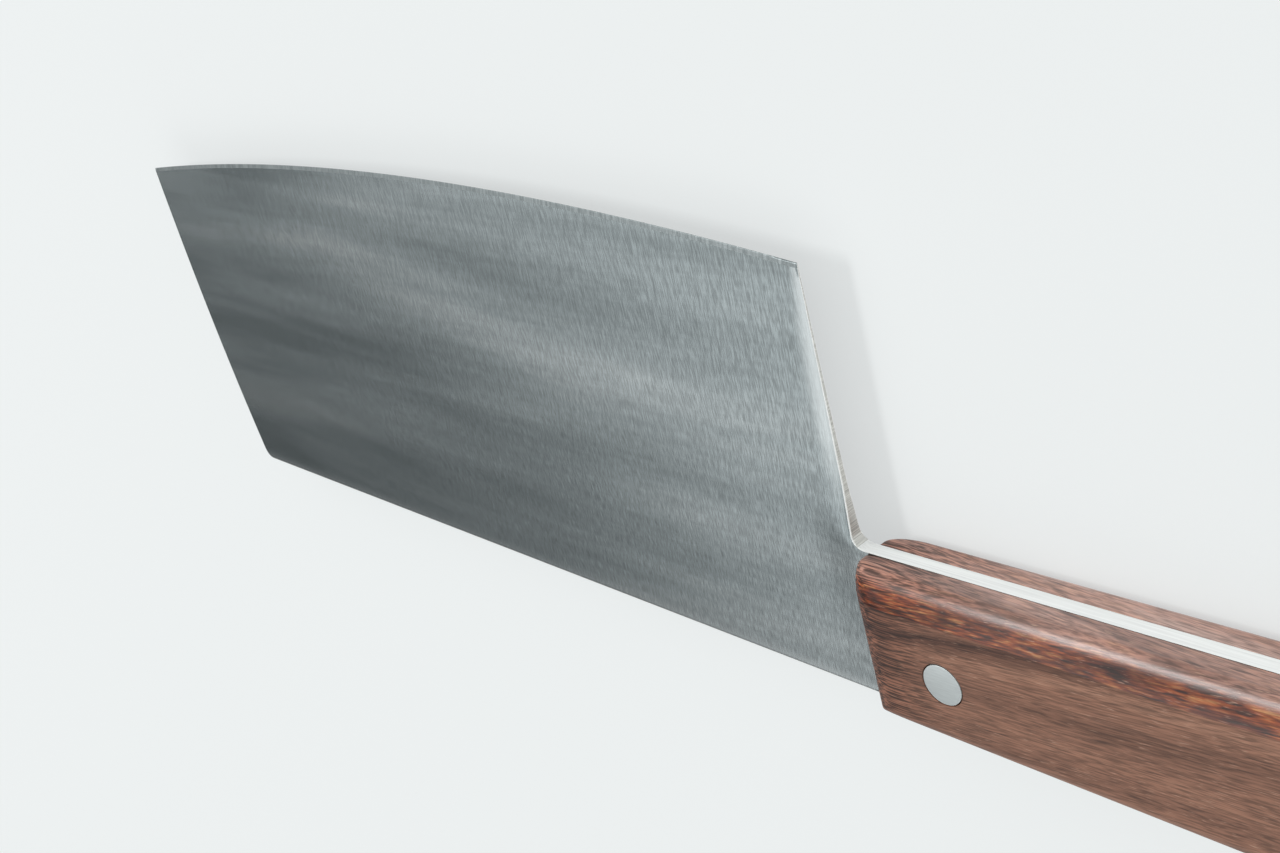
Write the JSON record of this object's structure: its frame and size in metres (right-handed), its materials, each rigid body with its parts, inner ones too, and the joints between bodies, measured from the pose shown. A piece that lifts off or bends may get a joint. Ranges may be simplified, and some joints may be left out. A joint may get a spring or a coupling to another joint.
{
  "type": "chinese cleaver",
  "caption": "Tall, thin full-tang Chinese vegetable cleaver: broad ground steel blade with a gently curved edge and a riveted dark wooden handle, for slicing and chopping.",
  "frame": {"origin": "on the surface that the knife lies on, under the middle of its length and height", "axes": "+X along the knife from the tip to the butt, +Y from the spine to the cutting edge, +Z out of the uppermost face of the blade"},
  "size_m": [0.3412, 0.0886, 0.015],
  "materials": {
    "blade_steel": "satin, fine lines across the blade",
    "handle_wood": "matt sides and polished belly edges",
    "rivet_metal": "satin, ground flush"
  },
  "bodies": {
    "root": {"blade_and_tang": "blade_steel", "upper_scale": "handle_wood", "lower_scale": "handle_wood", "front_rivet_sleeve": "rivet_metal", "front_rivet_pin": "rivet_metal", "rear_rivet_sleeve": "rivet_metal", "rear_rivet_pin": "rivet_metal"}
  },
  "joints": []
}
